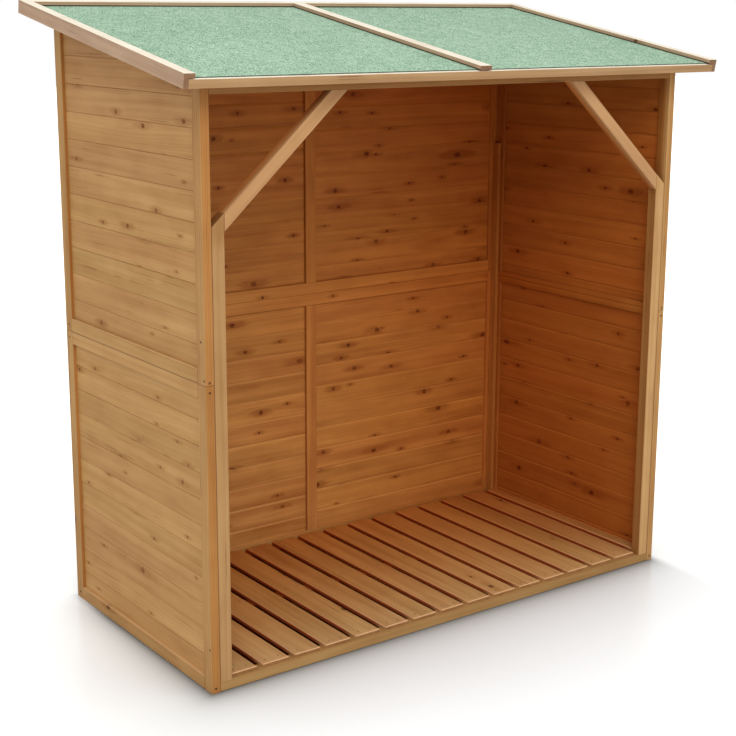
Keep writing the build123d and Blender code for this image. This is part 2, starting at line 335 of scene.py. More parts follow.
def coats_and_shade(tree, place, facing, plan, front, even):
    """How many layers of stain show, with painted shade counted in as extra layers: none in the
    weather, and the most in the far corner and under the roof.

    front is the count on the front faces, and even keeps the side faces' coats up to their edge.
    """
    start, along_x, along_y, along_z, at_top = plan
    x, y, z = parts_of(tree, place)
    ahead = maths(tree, "MULTIPLY", fade(tree, parts_of(tree, facing)[1], -0.8, -0.95), front)
    indoors = maths(tree, "LESS_THAN", maths(tree, "ABSOLUTE", x), INDOORS_X)
    indoors = maths(tree, "MULTIPLY", indoors, maths(tree, "LESS_THAN", y, INDOORS_Y))
    near = fade(tree, y, FRONT_Y + 0.002, FRONT_Y + 0.03)
    if even:
        flank = fade(tree, maths(tree, "ABSOLUTE", parts_of(tree, facing)[0]), 0.8, 0.9)
        near = maths(tree, "MAXIMUM", near, flank)
    indoors = maths(tree, "MULTIPLY", indoors, near)
    depth = fade(tree, z, SHADE_FROM, SHADE_TO, start, start + at_top)
    for place, share in ((x, along_x), (y, along_y), (z, along_z)):
        depth = maths(tree, "MULTIPLY_ADD", place, share, depth)
    depth = node(tree, "ShaderNodeClamp", {0: depth, 2: 1.6}).outputs[0]
    return mix_numbers(tree, indoors, ahead, depth), indoors


def stained_and_shaded(tree, colour, count):
    """Each coat lets through most of the red, half of the green and a fifth of the blue."""
    through = [maths(tree, "POWER", share, count) for share in (0.80, 0.44, 0.20)]
    film = node(tree, "ShaderNodeCombineColor", dict(enumerate(through))).outputs[0]
    return mix(tree, 1.0, colour, film, "MULTIPLY")


def inward(start, at_top=0.0):
    """A plan: layers at the middle of the ground, more for each metre along x, y and z, and aloft; the
    extra layers are painted shade deeper in the store.
    """
    return (start, 0.49, 0.84, 0.345, at_top)


# Most timbers share this plan, whose extra layers paint shade deeper in the store.
DRY_AND_SHADED = inward(0.042)


def wood(name, order, pale, deep, knot=(74, 28, 3), knots=0.62, spread=0.12, rings=0.12,
         lean=(0, 0, 0), number=None, bleach_and_toplight=None, plan=None, front=0.0, seams=(), gaps=(), worn_and_lit=None,
         edging=None, sunk=None, shaded=1.0, knot_size=1.0, arris=0.25, even=False):
    """A stained timber. order says which of x, y and z run along, across and through it.

    number tells the timbers of one node apart; plan and front say how many coats show, and the
    count also paints shade deeper inside the store; seams, gaps and edging are lines of painted
    shade at the joints and under the roof battens; worn arrises are paler, partly from wear and
    partly as a painted highlight, and sunk flanks get painted shade; shaded dims the side faces
    indoors as painted shade, and bleach is the cream of top faces, partly weathering and partly
    painted light from above.
    """
    material, tree = bare_material(name)
    where = node(tree, "ShaderNodeTexCoord").outputs
    place, facing = where["Object"], where["Normal"]
    world = place
    if any(lean):
        place, facing = (
            node(tree, "ShaderNodeVectorRotate", {"Vector": vector, "Rotation": lean},
                 rotation_type="EULER_XYZ").outputs[0]
            for vector in (place, facing)
        )
    p, f = parts_of(tree, place), parts_of(tree, facing)
    grain = join(tree, *[p[i] for i in order])
    turned = join(tree, *[f[i] for i in order])
    piece = maths(tree, "MULTIPLY", node(tree, "ShaderNodeObjectInfo").outputs["Random"], 97.0)
    if number == "boards":
        cut = node(tree, "ShaderNodeAttribute", attribute_name="grain").outputs["Vector"]
        board = node(tree, "ShaderNodeAttribute", attribute_name="board").outputs["Fac"]
        grain = cut
        piece = maths(tree, "MULTIPLY_ADD", board, 53.0, piece)
    elif number:
        axis, start, step = number
        at = parts_of(tree, world)[axis]
        steps = maths(tree, "FLOOR", maths(tree, "DIVIDE", maths(tree, "SUBTRACT", at, start), step))
        piece = maths(tree, "MULTIPLY_ADD", steps, 3.7, piece)
    made = node(tree, "ShaderNodeGroup", {
        "Grain": grain, "Facing": turned, "Piece": piece, "Pale": paint(*pale), "Deep": paint(*deep),
        "Knot": paint(*knot), "Knots kept": knots, "Piece to piece": spread, "Ring strength": rings,
        "Knot size": knot_size, "Arris": arris,
    }, node_tree=softwood)
    colour = made.outputs["Color"]
    across, ahead, up = parts_of(tree, where["Normal"])
    x, y, z = parts_of(tree, world)
    # Up-facing arrises and faces are paler: partly wear, partly a painted highlight.
    if worn_and_lit:
        share, first, last, shine = worn_and_lit
        below = fade(tree, up, last + 0.05, last, 0.0, share)
        lit = maths(tree, "MULTIPLY", fade(tree, up, first, first + 0.1), below)
        colour = mix(tree, lit, colour, paint(*shine))
    # Painted shade: fine dark lines along the seams and gaps where timbers meet.
    joint_shade = paint(74, 36, 12)
    for axis, at, depth in seams:
        away = maths(tree, "ABSOLUTE", maths(tree, "SUBTRACT", (x, y, z)[axis], at))
        colour = mix(tree, fade(tree, away, 0.0015, 0.0006, 0.0, depth), colour, joint_shade)
    for at in gaps:
        away = maths(tree, "ABSOLUTE", maths(tree, "SUBTRACT", maths(tree, "ABSOLUTE", x), at))
        line = fade(tree, away, 0.0018, 0.0008, 0.0, 0.4)
        line = maths(tree, "MULTIPLY", fade(tree, ahead, -0.5, -0.6), line)
        colour = mix(tree, line, colour, joint_shade)
    # Painted shade: a dark band at the foot of a batten's side, for the gap over the felt.
    if edging:
        level, axis, sign, shadow = edging
        inward = fade(tree, maths(tree, "MULTIPLY", parts_of(tree, facing)[axis], sign), 0.5, 0.6)
        low = fade(tree, parts_of(tree, place)[2], level + 0.0010, level - 0.0002)
        colour = mix(tree, maths(tree, "MULTIPLY", inward, low), colour, paint(*shadow))
    # Painted shade on the slats' side faces, which keeps the gaps between them dark.
    if sunk:
        flank = fade(tree, maths(tree, "ABSOLUTE", across), 0.8, 0.9, 0.0, sunk)
        flank = maths(tree, "MULTIPLY", flank, fade(tree, y, SLAT_FRONT + 0.01, SLAT_FRONT + 0.07))
        colour = mix(tree, flank, colour, paint(170, 76, 34))
    # Layers of stain inside the store: partly the stain's own depth, partly painted shade that grows
    # towards the back, the right and the top.
    if plan:
        count, indoors = coats_and_shade(tree, world, where["Normal"], plan, front, even)
        colour = stained_and_shaded(tree, colour, count)
        # Painted shade: the side faces indoors are dimmed.
        if shaded < 1:
            flank = fade(tree, maths(tree, "ABSOLUTE", across), 0.8, 0.9)
            dimmer = mix(tree, 1.0, colour, (shaded, shaded, shaded, 1), "MULTIPLY")
            colour = mix(tree, maths(tree, "MULTIPLY", indoors, flank), colour, dimmer)
    # Top faces turn cream, partly from weathering and partly as painted light from above.
    if bleach_and_toplight:
        weather = fade(tree, noise(tree, stretch(tree, place, 8, 8, 8), 3), 0.25, 0.6, 0.7, 0.95)
        share = maths(tree, "MULTIPLY", fade(tree, up, 0.75, 0.9), weather)
        colour = mix(tree, share, colour, paint(*bleach_and_toplight))
    surface(tree, colour, made.outputs["Roughness"], made.outputs["Height"], 0.3, 0.0005, 0.15)
    return material


def dress(material, *nodes):
    """Give CAD nodes a finish."""
    for name in nodes:
        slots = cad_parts[name].data.materials
        if len(slots) == 0:
            slots.append(material)
        for i in range(len(slots)):
            slots[i] = material

# %% [markdown]
# ## Stain on the frame
# One tin of honey stain looks different on every timber: it bleaches on the weather side and
# stays deep and red inside, where several coats still show; their count also paints the shade
# that deepens towards the back, the right and the top of the store. So each timber's finish is
# the same softwood with its own tone and its own plan of coats. Where two timbers meet, a fine
# line of painted shade marks the joint.

# %% Tones of the frame
HONEY, AMBER = (199, 155, 98), (161, 113, 61)
POST_PALE, POST_DEEP = (199, 156, 106), (161, 114, 68)
WORN_AND_LIT, SLAT_WORN_AND_LIT = (226, 188, 140), (222, 172, 128)
FRAME = dict(pale=HONEY, deep=AMBER, knots=0.35)
POST_OUT, POST_IN = (abs(corner.x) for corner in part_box("left_post"))
SLAT_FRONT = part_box("floor_slats")[0].y
BY_SIDE = (0, -0.3, 0.6)
LOW_AND_HIGH = (2, 0, 0.6)
OUTER_SEAM, INNER_SEAM = (2, SEAM_Z, 0.65), (2, INNER_SEAM_Z, 0.6)
sides = (("left", -1), ("right", 1))


def scaled(colour, share):
    """A paint-chart colour made lighter or darker."""
    return tuple(min(255, round(c * share ** (1 / 2.2))) for c in colour)


def toned(share, **more):
    """The frame's honey stain, lighter or darker."""
    return dict(pale=scaled(HONEY, share), deep=scaled(AMBER, share), **more)


# %% Side panels and posts
for side, sign in sides:
    upright = dict(number=BY_SIDE, seams=[OUTER_SEAM], plan=DRY_AND_SHADED)
    front_coats = 0.35 if side == "left" else 0.05
    stile_wood = wood(f"honey {side} stile", ORDERS["upright"], gaps=[POST_OUT], front=front_coats,
                      shaded=0.75, **upright, **toned(0.92, knots=0.10, rings=0.3))
    rear_wood = wood(f"honey {side} rear stile", ORDERS["upright"], front=0.5,
                     **upright, **toned(0.95, knots=0.10))
    for level in ("lower", "upper"):
        dress(stile_wood, f"{side}_{level}_front_stile")
        dress(rear_wood, f"{side}_{level}_rear_stile")
    post_tone = 0.88 if side == "left" else 1.08
    # The posts' inner faces get even layers of stain and dimming, as painted shade.
    post_wood = wood(f"honey {side} post", ORDERS["upright"], scaled(POST_PALE, post_tone),
                     scaled(POST_DEEP, post_tone), knots=0.3, number=BY_SIDE, gaps=[POST_OUT],
                     plan=(0.45, 0, 0, 0, 0), shaded=0.71, even=True)
    dress(post_wood, f"{side}_post")
    rail_wood = wood(f"honey {side} rail", ORDERS["deep"], number=LOW_AND_HIGH,
                     seams=[OUTER_SEAM], worn_and_lit=(0.28, 0.6, 1.1, WORN_AND_LIT),
                     plan=inward(0.45), **toned(1.0, knots=0.10))
    dress(rail_wood, f"{side}_lower_rails", f"{side}_upper_top_rail", f"{side}_upper_bottom_rail")
print("dressed both sides and their posts")

# %% Inner corners and back frame
BY_PANEL = (2, 0, INNER_SEAM_Z)
batten_wood = wood("honey corner batten", ORDERS["upright"], plan=inward(-0.05), **FRAME)
bead_wood = wood("honey bead", ORDERS["upright"], number=BY_PANEL, seams=[INNER_SEAM],
                 plan=inward(0.25), **FRAME)
for side, sign in sides:
    dress(batten_wood, f"{side}_corner_batten")
    dress(bead_wood, f"{side}_inner_beads")
back_stile_wood = wood("honey back stile", ORDERS["upright"], number=BY_PANEL,
                       seams=[INNER_SEAM, (0, 0.0, 0.2)], plan=DRY_AND_SHADED, **toned(1.17, knots=0.3))
back_rail_wood = wood("honey back rail", ORDERS["crosswise"], number=LOW_AND_HIGH, plan=DRY_AND_SHADED,
                      **toned(1.2, knots=0.35))
dress(back_stile_wood, "back_lower_stiles", "back_upper_stiles")
dress(back_rail_wood, "back_lower_rails", "back_upper_rails")
print("dressed the inner corners and the back frame")

# %% Header, sill, bearers and braces
header_wood = wood("honey header", ORDERS["crosswise"], front=0.3, plan=DRY_AND_SHADED, **toned(0.76, knots=0.35))
sill_wood = wood("honey sill", ORDERS["crosswise"], plan=DRY_AND_SHADED, **toned(0.82, knots=0.4))
bearer_wood = wood("dark bearer", ORDERS["crosswise"], plan=(1.6, 0, 0, 0, 0),
                   **toned(0.6, knots=0.1))
dress(header_wood, "header")
dress(sill_wood, "sill")
dress(bearer_wood, "floor_bearers")
BRACE_LEAN = math.radians(42)
for side, sign in sides:
    brace_wood = wood(f"honey {side} brace", ORDERS["crosswise"], (199, 153, 107), (160, 112, 70),
                      knots=0.35, lean=(0, -sign * BRACE_LEAN, 0), gaps=[POST_IN],
                      plan=(0.8, 0.05, 0, 0, 0))
    dress(brace_wood, f"{side}_brace")
print("dressed the front, with braces at", round(math.degrees(BRACE_LEAN)), "degrees")

# %% [markdown]
# ## The floor
# All the slats are one CAD node. To tell them apart, its mesh is split into islands of joined
# points, and each island's box says where one slat lies. Their pitch gives each slat its own
# piece number. The top arrises are paler, partly worn by feet and logs and partly a painted
# highlight, and painted shade on the slats' side faces keeps the gaps between them dark.

# %% Tell the solids of a node apart
def solids_in(name):
    """The box of each separate solid in a CAD node, from left to right."""
    mesh = bmesh.new()
    mesh.from_mesh(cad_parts[name].data)
    bmesh.ops.remove_doubles(mesh, verts=mesh.verts, dist=1e-6)
    left, boxes = set(mesh.verts), []
    while left:
        island, edge = set(), [left.pop()]
        while edge:
            vertex = edge.pop()
            island.add(vertex)
            near = {e.other_vert(vertex) for e in vertex.link_edges} & left
            left -= near
            edge.extend(near)
        boxes.append(tuple(Vector(f(v.co[i] for v in island) for i in range(3)) for f in (min, max)))
    mesh.free()
    return sorted(boxes, key=lambda box: (round(box[0].x, 4), box[0].z))


# %% Floor slats
slats = solids_in("floor_slats")
full_slats = [box for box in slats if box[0].y < SLAT_FRONT + 0.001]
slat_pitch = full_slats[1][0].x - full_slats[0][0].x
slat_start = (full_slats[0][1].x + full_slats[1][0].x) / 2 - slat_pitch
slat_wood = wood("honey slat", ORDERS["flat"], (214, 173, 119), (174, 130, 80), knots=0.15,
                 sunk=0.9, number=(0, slat_start, slat_pitch),
                 worn_and_lit=(0.8, 0.55, 0.8, SLAT_WORN_AND_LIT), plan=(0.52, 0.12, 1.1, 0, 0))
dress(slat_wood, "floor_slats")
print("floor:", len(full_slats), "slats at", round(slat_pitch * 1000, 1), "mm")
print("and", len(slats) - len(full_slats), "strips beside the walls")

# %% [markdown]
# ## Roof edges
# The edge boards are sawn, not planed, and were never stained. They keep a cream face on top,
# partly weathering and partly painted light from above, and the raw brown of sawn wood below,
# and a band of painted shade marks the gap where they stand over the felt. Their grain follows
# the slope of the roof, which is read from the head of a side panel.

# %% Slope of the roof
def roof_slope():
    """The roof's lean and its front point, from the sloping head of a side panel."""
    corners = [v.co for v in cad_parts["left_upper_cladding"].data.vertices]
    front = max((c for c in corners if c.y < 0), key=lambda c: c.z)
    rear = max((c for c in corners if c.y > 0), key=lambda c: c.z)
    return math.atan2(rear.z - front.z, rear.y - front.y), front


SLOPE, head_front = roof_slope()
print("roof slope", round(math.degrees(SLOPE), 2), "degrees")

# %% Roof timbers
SAWN_PALE, SAWN_DEEP, CREAM_AND_TOPLIGHT, EDGE_SHADOW = (194, 163, 133), (154, 122, 97), (236, 227, 207), (64, 58, 48)
# Roof timbers follow the slope; their cream tops are partly weathering and partly painted light from
# above.
ROOF = dict(lean=(-SLOPE, 0, 0), bleach_and_toplight=CREAM_AND_TOPLIGHT)
SAWN = dict(pale=SAWN_PALE, deep=SAWN_DEEP, knots=0.45, **ROOF)


def level_on_slope(corner):
    """How high a point lies, measured square to the roof."""
    return corner.z * math.cos(SLOPE) - corner.y * math.sin(SLOPE)


# The band of painted shade reaches this far up the battens' sides, over the felt.
EDGE_SHADOW_RISE = 0.0034
felt_points = [v.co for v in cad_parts["left_roof_felt"].data.vertices]
EDGE_SHADOW_TOP = max(level_on_slope(point) for point in felt_points) + EDGE_SHADOW_RISE
for side, sign in sides:
    edge_wood = wood(f"sawn {side} edge", ORDERS["flat"], edging=(EDGE_SHADOW_TOP, 0, -sign, EDGE_SHADOW), **SAWN)
    dress(edge_wood, f"{side}_edge_board")
centre_wood = wood("sawn centre batten", ORDERS["flat"], edging=(EDGE_SHADOW_TOP, 0, -1, EDGE_SHADOW), **SAWN)
rear_edge_wood = wood("sawn rear edge", ORDERS["crosswise"], edging=(EDGE_SHADOW_TOP, 1, -1, EDGE_SHADOW), **SAWN)
dress(centre_wood, "centre_batten")
dress(rear_edge_wood, "rear_edge_board")
fascia_timber = wood("pale fascia", ORDERS["crosswise"], (184, 149, 105), (150, 112, 73), knots=0.5,
                     number=(0, -5, 4), **ROOF)
under_roof = wood("roof underside", ORDERS["flat"], HONEY, AMBER, lean=(-SLOPE, 0, 0),
                  number=(0, 0, 0.1), plan=DRY_AND_SHADED)
dress(fascia_timber, "fascia")
dress(under_roof, "left_roof_deck", "right_roof_deck", "roof_battens")
# The printed height is that of the painted shade over the felt.
print("dressed the roof; dirt reaches", EDGE_SHADOW_RISE * 1000, "mm over the felt")

# %% [markdown]
# ## Tongue-and-groove boards
# The CAD model has one plain slab in each bay. Real cladding is a stack of narrow boards, each
# with a tongue on its upper edge that sits in a groove in the board above. Outside, two tiny
# chamfers meet in a fine dark line. Inside, the upper edge has a wide bevel that catches the
# light from the open front. Each board is that outline run along the bay, so the joints are
# real edges, and it keeps its own grain coordinates and a number for its tone.

# %% Lay the boards of one bay
def board_outline(low, high, thick, chamfer, first, last):
    """(through, up) points of a board's end, with through measured from the inner face."""
    gap, bevel, depth = 0.0006, 0.0085, 0.0034
    tongue, groove, reach = (0.0041, 0.0059), (0.0038, 0.0062), 0.0035
    points = [(0, low)]
    if first:
        points += [(thick, low)]
    else:
        roof = low + reach + 0.001
        points += [(groove[0], low), (groove[0], roof), (groove[1], roof), (groove[1], low)]
        points += [(thick - chamfer, low), (thick, low + chamfer)]
    if last:
        points += [(thick, high), (0, high)]
    else:
        top = high - gap
        points += [(thick, top - chamfer), (thick - chamfer, top)]
        points += [(tongue[1], top), (tongue[1], top + reach)]
        points += [(tongue[0], top + reach), (tongue[0], top), (depth, top), (0, top - bevel)]
    return points


def lay_boards(name, bay, along, outward, first_joint, cover, seed, head=None):
    """Fill a bay's box with boards.

    along is 0 for boards along x or 1 along y, and outward is -1 or 1 on the other axis. cover is
    how much of a board shows, and head is a point and a lean where a sloping top cuts them off.
    """
    low, high = bay
    across = 1 - along
    inner = high[across] if outward < 0 else low[across]
    thick = high[across] - low[across]
    start, stop = low[along], high[along]
    dice = random.Random(seed)
    joints, joint = [low.z], first_joint
    while joint < high.z - 0.012:
        if joint > low.z + 0.012:
            joints.append(joint)
        joint += cover
    joints.append(high.z)
    mesh = bmesh.new()
    grain = mesh.verts.layers.float_vector.new("grain")
    number = mesh.verts.layers.float.new("board")
    for i, (bottom, top) in enumerate(zip(joints, joints[1:])):
        slack, chamfer = dice.uniform(0, 0.0004), dice.uniform(0.0006, 0.0014)
        outline = board_outline(bottom, top, thick - slack, chamfer, i == 0, i == len(joints) - 2)
        value, shift = dice.random(), dice.uniform(0, 5)
        rings = []
        for end in (start, stop):
            ring = []
            for through, up in outline:
                place = Vector((0, 0, up))
                place[along] = end
                place[across] = inner + outward * through
                vertex = mesh.verts.new(place)
                vertex[grain] = Vector((end + shift, up - (bottom + top) / 2, through))
                vertex[number] = value
                ring.append(vertex)
            rings.append(ring)
        faces = [mesh.faces.new(rings[0]), mesh.faces.new(rings[1][::-1])]
        count = len(outline)
        for k in range(count):
            n = (k + 1) % count
            faces.append(mesh.faces.new((rings[0][n], rings[0][k], rings[1][k], rings[1][n])))
    if head:
        point, lean = head
        normal = Vector((0, -math.sin(lean), math.cos(lean)))
        everything = mesh.verts[:] + mesh.edges[:] + mesh.faces[:]
        cut = bmesh.ops.bisect_plane(mesh, geom=everything, dist=1e-7, plane_co=point,
                                     plane_no=normal, clear_outer=True)
        rim = [e for e in cut["geom_cut"] if isinstance(e, bmesh.types.BMEdge)]
        bmesh.ops.edgenet_fill(mesh, edges=rim)
    bmesh.ops.recalc_face_normals(mesh, faces=mesh.faces)
    bmesh.ops.triangulate(mesh, faces=[f for f in mesh.faces if len(f.verts) > 4])
    data = bpy.data.meshes.new(name)
    mesh.to_mesh(data)
    mesh.free()
    piece = bpy.data.objects.new(name, data)
    bpy.context.scene.collection.objects.link(piece)
    return piece, len(joints) - 1


# %% Side and back cladding
BOARDS = dict(number="boards", spread=0.10, arris=0.12)
RED_KNOT = dict(knot=(100, 40, 10), knot_size=1.05)
left_boards = wood("honey left board", ORDERS["deep"], HONEY, AMBER, knot=(112, 58, 18),
                   knots=0.50, plan=DRY_AND_SHADED, **BOARDS)
right_boards = wood("honey right board", ORDERS["deep"], (206, 163, 108), (166, 118, 68),
                    knots=0.62, plan=(1.24, 0, 0.2, 0, -0.25), **RED_KNOT, **BOARDS)
# The back boards are lighter than the side boards, as painted light on the back wall.
back_boards = wood("honey back board", ORDERS["crosswise"], (220, 172, 108), (164, 112, 58),
                   knots=0.66, plan=inward(0.03, 0.3), **RED_KNOT, **BOARDS)
LOWER_COVER = 0.0775
SIDE_LAYOUT = {
    "left_lower_cladding": (0.100, LOWER_COVER), "left_upper_cladding": (0.928, 0.0838),
    "right_lower_cladding": (0.056, 0.0762), "right_upper_cladding": (0.955, 0.0775),
}
for number, (node_name, (joint, cover)) in enumerate(SIDE_LAYOUT.items()):
    left = node_name.startswith("left")
    head = (head_front, SLOPE) if "upper" in node_name else None
    piece, count = lay_boards(node_name.replace("cladding", "boards"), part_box(node_name), 1,
                              -1 if left else 1, joint, cover, 40 + number, head)
    piece.data.materials.append(left_boards if left else right_boards)
    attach(piece, "root")
    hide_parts(node_name)
    print(piece.name, count, "boards")

BACK_LAYOUT = {
    "back_lower_cladding": ((0.100, LOWER_COVER), (0.111, 0.0779)),
    "back_upper_cladding": ((1.027, 0.0815), (1.017, 0.0800)),
}
for number, (node_name, layouts) in enumerate(BACK_LAYOUT.items()):
    bays = solids_in(node_name)
    for k, (bay, (joint, cover)) in enumerate(zip(bays, layouts)):
        name = node_name.replace("cladding", "boards") + ("_left", "_right")[k]
        piece, count = lay_boards(name, bay, 0, 1, joint, cover, 60 + 7 * number + k)
        piece.data.materials.append(back_boards)
        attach(piece, "root")
        print(name, count, "boards")
    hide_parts(node_name)
    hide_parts(node_name)

# %% [markdown]
# ## Mineral felt
# Shed felt is bitumen sheet pressed full of coloured stone grit. Close up it is a bed of
# separate grains, and from a few steps away the grains gather in pale and dark clusters. Small
# Voronoi cells make the grains, each with a shade of its own, and soft noise makes the
# clusters. Cut edges show the black bitumen.

# %% Felt material
def felt_material():
    """Grit in two greens, lying in clusters, with black bitumen at the cut edges."""
    material, tree = bare_material("green mineral felt")
    where = node(tree, "ShaderNodeTexCoord").outputs
    place = where["Object"]
    grit = node(tree, "ShaderNodeTexVoronoi", {"Vector": place, "Scale": 420.0})
    shade = parts_of(tree, grit.outputs["Color"])[0]
    clusters = noise(tree, stretch(tree, place, 240, 240, 240), 3, 0.6)
    patches = noise(tree, stretch(tree, place, 28, 28, 28), 3, 0.6)
    sheet = noise(tree, stretch(tree, place, 3, 3, 3), 2)
    value = 0.5
    for pattern, share in ((clusters, 3.0), (shade, 1.0), (patches, 0.7), (sheet, 0.3)):
        value = swing(tree, pattern, 0.5, share, value)
    value = node(tree, "ShaderNodeClamp", {0: value}).outputs[0]
    colour = mix(tree, value, paint(90, 131, 105), paint(186, 212, 186))
    up = maths(tree, "ABSOLUTE", parts_of(tree, where["Normal"])[2])
    colour = mix(tree, fade(tree, up, 0.7, 0.5), colour, paint(58, 60, 50))
    grains = maths(tree, "MULTIPLY", grit.outputs["Distance"], -0.6)
    height = maths(tree, "MULTIPLY_ADD", clusters, 0.8, grains)
    rough = fade(tree, clusters, 0.3, 0.7, 0.82, 0.95)
    surface(tree, colour, rough, height, 0.5, 0.0008, 0.2)
    return material


felt = felt_material()
dress(felt, "left_roof_felt", "right_roof_felt")
print(felt.name + ":", len(felt.node_tree.nodes), "nodes")

# %% [markdown]
# ## Nails and screws
# Each slat is nailed to the sill and to both bearers, and screws hold the stacked panels
# together at the corners. A nail is a thin domed head; a screw is a countersunk head with a
# cross recess. They are small, so all the nails are one mesh and all the screws another.

# %% Steel finish
def steel_material():
    """Fixings under stain and rust, too dark and dull to shine."""
    material, tree = bare_material("darkened steel")
    place = node(tree, "ShaderNodeTexCoord").outputs["Object"]
    stain = noise(tree, stretch(tree, place, 400, 400, 400), 3)
    colour = mix(tree, fade(tree, stain, 0.4, 0.65), paint(62, 38, 20), paint(40, 20, 8))
    surface(tree, colour, fade(tree, stain, 0.3, 0.7, 0.5, 0.75), stain, 0.3, 0.0002, 0.2)
    return material


steel = steel_material()
print(steel.name + ":", len(steel.node_tree.nodes), "nodes")

# %% Nail heads
NAIL_RADIUS, NAIL_RISE, NAIL_INSET = 0.0021, 0.0004, 0.022


def turned_head(mesh, centre, out, radius, rise, steps=14):
    """A domed head of that radius, standing on a surface at centre and facing out."""
    turn = Vector((0, 0, 1)).rotation_difference(Vector(out)).to_matrix().to_4x4()
    place = Matrix.Translation(centre) @ turn
    dome = ((1, -0.0004), (1, rise * 0.35), (0.8, rise * 0.85), (0.35, rise))
    rings = []
    for share, z in dome:
        r = radius * share
        rings.append([mesh.verts.new(place @ Vector((r * math.cos(a), r * math.sin(a), z)))
                      for a in (2 * math.pi * k / steps for k in range(steps))])
    for low, high in zip(rings, rings[1:]):
        for k in range(steps):
            n = (k + 1) % steps
            mesh.faces.new((low[k], low[n], high[n], high[k]))
    mesh.faces.new(rings[-1])
    mesh.faces.new(rings[0][::-1])


def finish_piece(name, mesh, material):
    """Turn a mesh into a piece that rides on the store."""
    bmesh.ops.recalc_face_normals(mesh, faces=mesh.faces)
    data = bpy.data.meshes.new(name)
    mesh.to_mesh(data)
    mesh.free()
    data.materials.append(material)
    piece = bpy.data.objects.new(name, data)
    bpy.context.scene.collection.objects.link(piece)
    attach(piece, "root")
    print(name, len(data.vertices), "points")
    return piece


def floor_nails():
    """Two nails for each slat at the sill and at each bearer, and one for a strip."""
    mesh = bmesh.new()
    dice = random.Random(5)
    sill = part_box("sill")
    bearers = solids_in("floor_bearers")
    lines = [(sill[0].y + sill[1].y) / 2 + 0.013] + [(a.y + b.y) / 2 for a, b in bearers]
    for low, high in slats:
        edges = ((low.x + high.x) / 2,)
        if high.x - low.x > 0.06:
            edges = (low.x + NAIL_INSET, high.x - NAIL_INSET)
        for line in lines:
            if line < low.y:
                continue
            for x in edges:
                right, back = dice.uniform(-0.003, 0.003), dice.uniform(-0.002, 0.002)
                spot = Vector((x + right, line + back, high.z))
                turned_head(mesh, spot, (0, 0, 1), NAIL_RADIUS, NAIL_RISE)
    return finish_piece("floor_nails", mesh, steel)


floor_nails()

# %% Corner screws
SCREW_RADIUS, SCREW_INSET = 0.0034, 0.013


def cross_head(mesh, centre, out, radius):
    """A countersunk screw head with a cross recess, level with the wood."""
    turn = Vector((0, 0, 1)).rotation_difference(Vector(out)).to_matrix().to_4x4()
    place = Matrix.Translation(centre) @ turn
    steps, arm, half = 24, radius * 0.55, radius * 0.14

    def ring(points, z):
        return [mesh.verts.new(place @ Vector((x, y, z))) for x, y in points]

    angles = [2 * math.pi * k / steps for k in range(steps)]
    circle = [(radius * math.cos(angle), radius * math.sin(angle)) for angle in angles]
    plus = [(arm, -half), (arm, half), (half, half), (half, arm), (-half, arm), (-half, half),
            (-arm, half), (-arm, -half), (-half, -half), (-half, -arm), (half, -arm), (half, -half)]
    skirt, rim = ring(circle, -0.0006), ring(circle, 0.0003)
    lip, pit = ring(plus, 0.0003), ring(plus, -0.0005)
    for k in range(steps):
        n = (k + 1) % steps
        mesh.faces.new((skirt[k], skirt[n], rim[n], rim[k]))
    for k in range(len(plus)):
        n = (k + 1) % len(plus)
        mesh.faces.new((lip[n], lip[k], pit[k], pit[n]))
    mesh.faces.new(pit)
    mesh.faces.new(skirt[::-1])
    edges = [mesh.edges.get((loop[k], loop[(k + 1) % len(loop)]))
             for loop in (rim, lip) for k in range(len(loop))]
    bmesh.ops.triangle_fill(mesh, use_beauty=True, edges=edges)


def corner_screws():
    """Screws in the front stiles' faces, in the sides at both corners, and in the back stiles."""
    mesh = bmesh.new()
    header_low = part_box("header")[0].z
    for side, sign in sides:
        low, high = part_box(f"{side}_lower_front_stile")
        outer = low.x if sign < 0 else high.x
        inset = outer - sign * SCREW_INSET
        for z in (0.014, SEAM_Z - 0.020, SEAM_Z + 0.008, header_low + 0.02):
            cross_head(mesh, Vector((inset, low.y, z)), (0, -1, 0), SCREW_RADIUS)
        rear_low, rear_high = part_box(f"{side}_lower_rear_stile")
        columns = (
            (low.y + 0.007, (0.133, SEAM_Z + 0.014)),
            (low.y + 0.021, (SEAM_Z + 0.12,)),
            ((rear_low.y + rear_high.y) / 2, (0.020, SEAM_Z - 0.020, SEAM_Z + 0.020)),
        )
        for y, heights in columns:
            for z in heights:
                cross_head(mesh, Vector((outer, y, z)), (sign, 0, 0), SCREW_RADIUS)
    for z in (0.0205, INNER_SEAM_Z - 0.0205, INNER_SEAM_Z + 0.0205):
        for a, b in solids_in("back_lower_stiles"):
            cross_head(mesh, Vector(((a.x + b.x) / 2, b.y, z)), (0, 1, 0), SCREW_RADIUS)
    return finish_piece("corner_screws", mesh, steel)


corner_screws()

# %% [markdown]
# ## Ground, light and camera
# The store stands on a plain pale floor in a soft white studio. A sky of even white does most
# of the work, and one large soft lamp at the front left gives it a direction. The floor keeps
# the shadow, and adds a painted contact shadow along the timbers and painted shade under the
# store; a little extra white that only the camera sees takes the floor out to the white of the
# backdrop.

# %% Pale floor
# The painted contact shadow fades at this rate per metre away from the timbers.
CONTACT_SHADOW_FALL = -22.0
BACKDROP_LIFT, LIFT_REACH = 0.42, 0.52
STORE_HALF = Vector((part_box("right_lower_front_stile")[1].x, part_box("back_lower_stiles")[1].y, 0))


